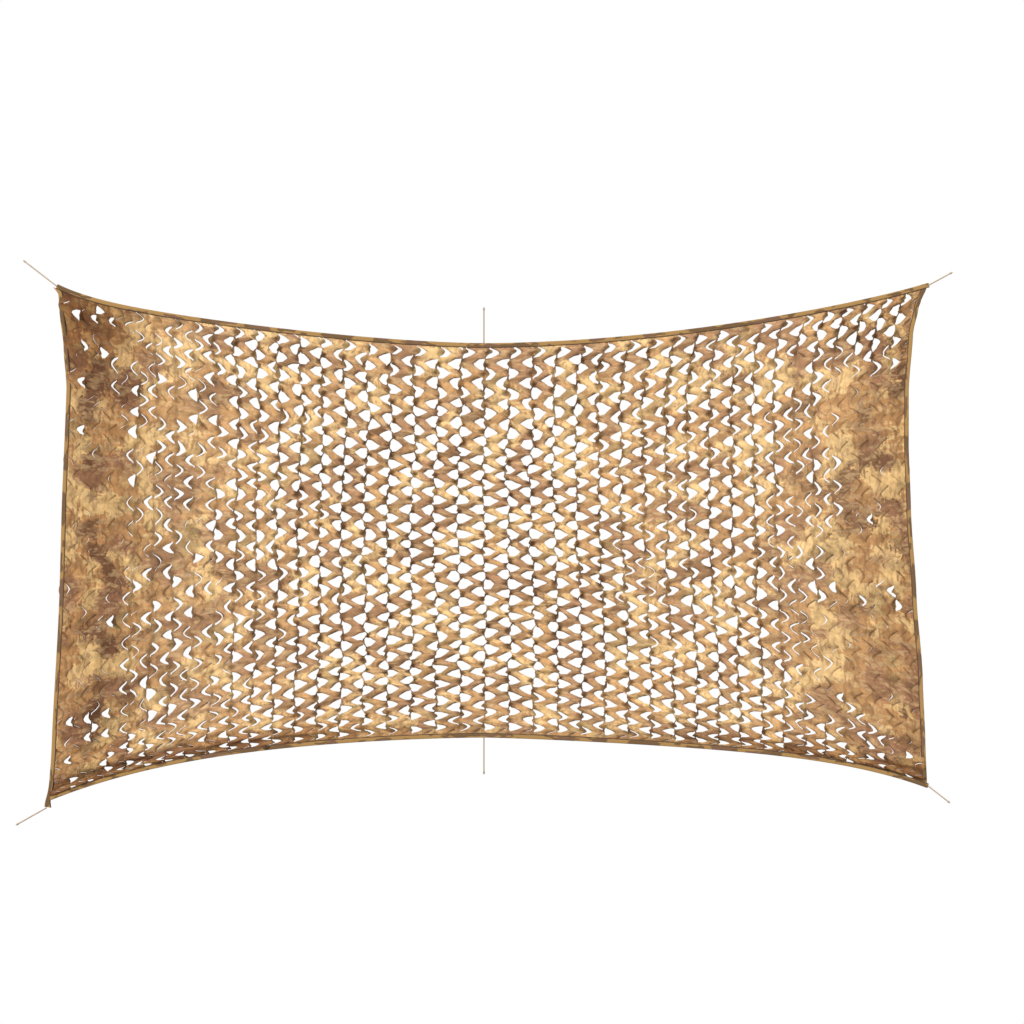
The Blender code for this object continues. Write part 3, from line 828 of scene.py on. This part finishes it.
TAPE_WIDTH = 0.026
TAPE_HALF = 0.0022  # from the net's plane to the face of a ply
TAPE_STEP = 0.012
EAR_FLARE = 0.042  # the left tape's two ends stand out from the net's corners
TUBE_END = 0.030  # its foot end stands below the net, swung outward and pressed open
TUBE_FLARE = 0.018
TUBE_OPENS = 1.5
EDGE_STEPS = 600  # along each edge, where its tape's line is taken
FLARE_STEPS = 24  # over which the foot end swings outward, and the head end over half as many
TUCK_GAP = 0.0005

# Across one ply, from the fold to its edge: distance in from the fold, as a share of the tape's
# width, and depth, as a share of its half-thickness; the front ply is the back one mirrored
PLY = [(0.0, 0.0), (0.045, 0.75), (0.14, 1.05), (0.38, 1.1), (0.70, 1.05), (0.97, 1.0), (1.00, 0.9)]
TAPE_SECTION = [(share, -depth) for share, depth in PLY[:0:-1]] + PLY


def even_line(points, step):
    """Points at even steps along a line through the given ones."""
    total = sum((b - a).length for a, b in zip(points, points[1:]))
    count = max(2, round(total / step))
    spots, walked, wanted = [points[0]], 0.0, total / count
    for a, b in zip(points, points[1:]):
        length = (b - a).length
        while wanted <= walked + length + 1e-9 and len(spots) < count:
            spots.append(a.lerp(b, (wanted - walked) / length))
            wanted += total / count
        walked += length
    spots.append(points[-1])
    return spots


def tape_lines():
    """Each tape's line on the outline, clockwise, so that the net is always on its right."""
    shares = [number / EDGE_STEPS for number in range(EDGE_STEPS + 1)]
    left = [left_edge(share) for share in reversed(shares)]
    left.insert(0, left[0] + (left[0] - left[40]).normalized() * TUBE_END)
    flared, head = left[-1] - Vector((EAR_FLARE, 0)), FLARE_STEPS // 2
    left = left[:-head] + [left[-head].lerp(flared, number / 6) for number in range(1, 7)]
    for number in range(FLARE_STEPS):
        left[number] = left[number] - Vector((TUBE_FLARE * (1 - number / FLARE_STEPS) ** 2, 0))
    return {
        "binding_top": even_line([top_edge(share) for share in shares], TAPE_STEP),
        "binding_right": even_line([right_edge(share) for share in shares], TAPE_STEP),
        "binding_bottom": even_line([bottom_edge(share) for share in reversed(shares)], TAPE_STEP),
        "binding_left": even_line(left, TAPE_STEP),
    }


def heading(line, number):
    """Direction of travel along a line at one of its points, and the way to the net."""
    ahead = line[min(number + 1, len(line) - 1)] - line[max(number - 1, 0)]
    ahead.normalize()
    return ahead, Vector((ahead.y, -ahead.x))


def tape_end(line, last=False):
    """One end of a tape's line: its corner, the way out of the tape, and the way to the net."""
    ahead, to_net = heading(line, len(line) - 1 if last else 0)
    return {"corner": line[-1] if last else line[0], "out": ahead if last else -ahead, "to_net": to_net}


LINES_OF_TAPE = tape_lines()
TAPE_ENDS = {
    "top_left": tape_end(LINES_OF_TAPE["binding_top"]),
    "top_right": tape_end(LINES_OF_TAPE["binding_top"], last=True),
    "bottom_left": tape_end(LINES_OF_TAPE["binding_left"]),
    "bottom_right": tape_end(LINES_OF_TAPE["binding_bottom"]),
}


def cut_off(mesh, corner):
    """Cuts a tape's mesh off clear of the tape that runs through a corner."""
    end = TAPE_ENDS[corner]
    point = end["corner"] + end["to_net"] * (TAPE_WIDTH + TUCK_GAP)
    work = bmesh.new()
    work.from_mesh(mesh)
    bmesh.ops.bisect_plane(
        work,
        geom=work.verts[:] + work.edges[:] + work.faces[:],
        plane_co=(point.x, 0, point.y),
        plane_no=(-end["to_net"].x, 0, -end["to_net"].y),
        clear_outer=True,
    )
    work.to_mesh(mesh)
    work.free()


def build_tape(name, corners):
    """One folded tape along its line, cut off clear of the tapes that run through its corners."""
    line = LINES_OF_TAPE[name]
    places, runs, faces = [], [], []
    columns = len(TAPE_SECTION)
    for number, point in enumerate(line):
        _, to_net = heading(line, number)
        along = number * TAPE_STEP
        pucker = wander(along * 60, 1.0, 3.0)
        for share, depth in TAPE_SECTION:
            ripple = wander(along * 45, share * 2, depth * 5) * 0.0011
            opened = 1 + (TUBE_OPENS - 1) * max(0.0, 1 - number / 5) * (name == "binding_left")
            reach = (TAPE_WIDTH * opened + ripple) * share + pucker * 0.0004 * (1 - share)
            swell = 1 + 0.10 * pucker * math.sin(math.pi * share)
            spot = point + to_net * max(reach, 0.0)
            places.append((spot.x, depth * TAPE_HALF * swell, spot.y))
            runs.append((along, share * TAPE_WIDTH * (1 if depth <= 0 else -1)))
    for station in range(len(line) - 1):
        for column in range(columns - 1):
            first = station * columns + column
            faces.append((first, first + 1, first + columns + 1, first + columns))
    tape = smooth_object(name.replace("binding", "tape"), places, faces, "tape run", runs)
    for corner in corners:
        cut_off(tape.data, corner)
    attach(tape, "root")
    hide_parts(name)
    return tape


def printed_tape():
    """Matte woven tape, printed with the camouflage cut into short dashes, its inner edge painted dark brown
    as a shadow line.
    """
    tape = new_material("printed woven tape")
    run = add_node(tape, "UVMap", {}, uv_map="tape run")
    across = add_node(tape, "SeparateXYZ", {0: run}, 1)
    from_fold = add_node(tape, "Math", {0: across}, operation="ABSOLUTE")
    color = lay_coats(
        tape,
        paint("6E502C"),
        (noise_at(tape, run, 9.0, 2.0, 2.0, (1, 3, 1)), 0.44, 0.50, 1.0, paint("A67F46")),
        (noise_at(tape, run, 6.0, 2.0, 7.0, (1, 3, 1)), 0.56, 0.60, 1.0, paint("78563A")),
        # A painted shadow: the dark brown band along the tape's inner edge, next to the net.
        (from_fold, 0.0205, 0.0225, 1.0, paint("4A3420")),
    )
    surface = {
        "Base Color": color,
        "Normal": weave_bump(tape, run, 0.0005),
        "Roughness": 0.82,
        "Sheen Weight": 0.1,
        "Specular IOR Level": 0.3,
    }
    add_node(tape, "OutputMaterial", {"Surface": add_node(tape, "BsdfPrincipled", surface)})
    return tape


CUT_ENDS = {
    "binding_top": (),
    "binding_right": ("top_right", "bottom_right"),
    "binding_bottom": ("bottom_left",),
    "binding_left": ("top_left",),
}
tape_cloth = printed_tape()
tapes = {name: build_tape(name, corners) for name, corners in CUT_ENDS.items()}
for tape in tapes.values():
    tape.data.materials.append(tape_cloth)


# ---- Stitching ----
# One row of lockstitch in brown thread holds each tape, seen on the front and the back. Its
# stitches are twice as long as the real 4 mm ones, so that they still show from a few metres.

STITCH_PITCH = 0.008
STITCH_LENGTH = 0.006
STITCH_HALF = 0.0006
SEAM_IN = 0.0185  # from the tape's fold

stitch_places, stitch_faces = [], []
for name, line in LINES_OF_TAPE.items():
    seam = even_line(line[3:-3], STITCH_PITCH)
    for number, point in enumerate(seam):
        ahead, to_net = heading(seam, number)
        for face in (-1, 1):
            middle = point + to_net * SEAM_IN
            ends = [middle - ahead * STITCH_LENGTH / 2, middle + ahead * STITCH_LENGTH / 2]
            sides = [middle - to_net * STITCH_HALF, middle + to_net * STITCH_HALF]
            first = len(stitch_places)
            low, top = face * TAPE_HALF, face * (TAPE_HALF * 1.08 + STITCH_HALF)
            stitch_places += [(p.x, low, p.y) for p in ends + sides]
            stitch_places.append((middle.x, top, middle.y))
            for a, b in ((0, 2), (2, 1), (1, 3), (3, 0)):
                corners = (first + a, first + b, first + 4)
                stitch_faces.append(corners if face < 0 else corners[::-1])
stitching = smooth_object("lockstitch", stitch_places, stitch_faces)
# Spun polyester thread, a little shinier than the tape that it is sewn through
thread = new_material("polyester thread")
spun = {"Base Color": paint("7A6242"), "Roughness": 0.5, "Sheen Weight": 0.2}
add_node(thread, "OutputMaterial", {"Surface": add_node(thread, "BsdfPrincipled", spun)})
stitching.data.materials.append(thread)
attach(stitching, "root")


# ---- Tie cords ----
# Three-strand laid cord in tan polypropylene. Each cord leaves the tape at the fold or out of its
# folded end, pulls taut, and ends in a tight stopper knot with a short frayed tip.

CORD_RADIUS = 0.004
CORD_LAY = 0.030  # one full turn of the strands
CORD_SIDES = 24
CORD_RING = 0.0018  # from ring to ring of the mesh
KNOT_LENGTH = 0.018  # with the frayed tip
TIP_LENGTH = 0.005
SEAT_GAP = 0.0003
CORDS = {
    "tie_top_left": {"pull": (-0.806, 0.592), "length": 0.243},
    "tie_top_middle": {"pull": (0.0, 1.0), "length": 0.199},
    "tie_top_right": {"pull": (0.888, 0.460), "length": 0.152},
    "tie_bottom_left": {"pull": (-0.880, -0.475), "length": 0.203},
    "tie_bottom_middle": {"pull": (0.0, -1.0), "length": 0.203},
    "tie_bottom_right": {"pull": (0.803, -0.596), "length": 0.156},
}


def cord_seat(name, pull):
    """Where a cord leaves the tape: on the fold at the middle, else at the tape's end."""
    if "middle" in name:
        return Vector((0, SEAT_GAP if "top" in name else -WAIST - SEAT_GAP))
    end = TAPE_ENDS[name.replace("tie_", "")]
    lean = abs(pull.x * end["out"].y - pull.y * end["out"].x)
    return end["corner"] + end["to_net"] * (TAPE_WIDTH / 2) + end["out"] * (CORD_RADIUS * lean + SEAT_GAP)


def cord_radius(from_end):
    """Radius of the cord near its far end: three tight turns of knot, then a loose frayed tip."""
    if from_end > KNOT_LENGTH:
        return CORD_RADIUS
    if from_end < TIP_LENGTH:
        return CORD_RADIUS * (0.75 + 0.25 * from_end / TIP_LENGTH)
    share = (from_end - TIP_LENGTH) / (KNOT_LENGTH - TIP_LENGTH)
    turns = abs(math.sin(3 * math.pi * share))
    return CORD_RADIUS * (1.0 + 0.55 * math.sin(math.pi * share) ** 0.5 * (0.75 + 0.25 * turns))


def build_cord(name):
    """One taut cord from its seat on a tape to the frayed tip beyond its knot."""
    pull = Vector(CORDS[name]["pull"]).normalized()
    seat, length = cord_seat(name, pull), CORDS[name]["length"]
    start = Vector((seat.x, 0, seat.y))
    axis, side = Vector((pull.x, 0, pull.y)), Vector((-pull.y, 0, pull.x))
    front = Vector((0, -1, 0))
    rings = round(length / CORD_RING)
    places, runs, faces = [], [], []
    for ring in range(rings + 1):
        walked = length * ring / rings
        centre = start + axis * walked
        radius = cord_radius(length - walked)
        knotted = KNOT_LENGTH > length - walked > TIP_LENGTH
        for spoke in range(CORD_SIDES):
            angle = 2 * math.pi * spoke / CORD_SIDES
            twist = angle + 2 * math.pi * walked / CORD_LAY
            groove = abs(math.cos(1.5 * twist)) if not knotted else 0.9
            out = radius * (0.80 + 0.20 * groove**0.7)
            places.append(centre + (side * math.cos(angle) + front * math.sin(angle)) * out)
            runs.append((walked, angle * CORD_RADIUS))
    for ring in range(rings):
        for spoke in range(CORD_SIDES):
            first, second = ring * CORD_SIDES + spoke, ring * CORD_SIDES + (spoke + 1) % CORD_SIDES
            faces.append((first, second, second + CORD_SIDES, first + CORD_SIDES))
    faces.append(list(range(rings * CORD_SIDES, (rings + 1) * CORD_SIDES)))
    faces.append(list(reversed(range(CORD_SIDES))))
    cord = smooth_object(name.replace("tie", "cord"), places, faces, "cord run", runs)
    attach(cord, "root")
    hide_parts(name)
    return cord


def laid_cord():
    """Tan polypropylene cord, faintly glossy, its darker tan streaked paler along the fibres and in patches.
    """
    cord = new_material("laid polypropylene cord")
    run = add_node(cord, "UVMap", {}, uv_map="cord run")
    fibres = noise_at(cord, run, 900, 2.0, 0.0, (1, 0.12, 1), 35)
    wear_and_shade = noise_at(cord, run, 40, 2.0, 4.0)
    color = lay_coats(
        cord,
        paint("9C8468"),
        (fibres, 0.35, 0.65, 1.0, paint("CDB69C")),
        (wear_and_shade, 0.5, 0.75, 1.0, paint("B69C7C")),
    )
    surface = {
        "Base Color": color,
        "Normal": add_node(cord, "Bump", {"Strength": 0.3, "Distance": 0.0004, "Height": fibres}),
        "Roughness": 0.55,
        "Sheen Weight": 0.1,
    }
    add_node(cord, "OutputMaterial", {"Surface": add_node(cord, "BsdfPrincipled", surface)})
    return cord


cord_finish = laid_cord()
cords = [build_cord(name) for name in CORDS]
for cord in cords:
    cord.data.materials.append(cord_finish)


# ---- Stage ----
# A pale floor below the net, a white surround and one soft key light from the upper left. The
# camera stands far off, a little round to the right and level with the net.

VIEW_TURN = 17.7  # degrees that the camera stands round to the right
FRAME_SIZE = 5.669
CAMERA_DISTANCE = 250.0
SENSOR = 0.036
AIM = Vector((0.1635, 0.0, -0.9355))
FLOOR_RADIUS = 4.0
FLOOR_Z = -4.1
KEY_STRENGTH = 4.0
KEY_SPREAD = 20  # degrees, as the next two
KEY_HEIGHT = 38
KEY_TURN = -25

bpy.ops.mesh.primitive_circle_add(
    vertices=96, radius=FLOOR_RADIUS, fill_type="NGON", location=(0, 0, FLOOR_Z)
)
floor = bpy.context.object
floor.name = "floor"
floor_paint = new_material("matt painted floor")
matt = {"Base Color": (0.3, 0.3, 0.3, 1), "Roughness": 0.9}
add_node(floor_paint, "OutputMaterial", {"Surface": add_node(floor_paint, "BsdfPrincipled", matt)})
floor.data.materials.append(floor_paint)

world = bpy.data.worlds.new("white surround")
world.use_nodes = True
surround = world.node_tree.nodes["Background"].inputs
surround["Color"].default_value = (1, 1, 1, 1)
surround["Strength"].default_value = 1.0
bpy.context.scene.world = world
bpy.context.scene.view_settings.view_transform = "Standard"

key_light = bpy.data.lights.new("key", "SUN")
key_light.energy = KEY_STRENGTH
key_light.angle = math.radians(KEY_SPREAD)
key = bpy.data.objects.new("key", key_light)
key.rotation_euler = (math.radians(90 - KEY_HEIGHT), 0, math.radians(KEY_TURN))
bpy.context.scene.collection.objects.link(key)

camera_data = bpy.data.cameras.new("camera")
camera_data.sensor_width = SENSOR * 1000
camera_data.lens = SENSOR * 1000 * CAMERA_DISTANCE / FRAME_SIZE
camera_data.clip_start = 1.0
camera_data.clip_end = CAMERA_DISTANCE * 2
camera = bpy.data.objects.new("camera", camera_data)
turn = math.radians(VIEW_TURN)
camera.location = AIM + Vector((math.sin(turn), -math.cos(turn), 0)) * CAMERA_DISTANCE
camera.rotation_euler = (math.radians(90), 0, turn)
bpy.context.scene.collection.objects.link(camera)
bpy.context.scene.camera = camera
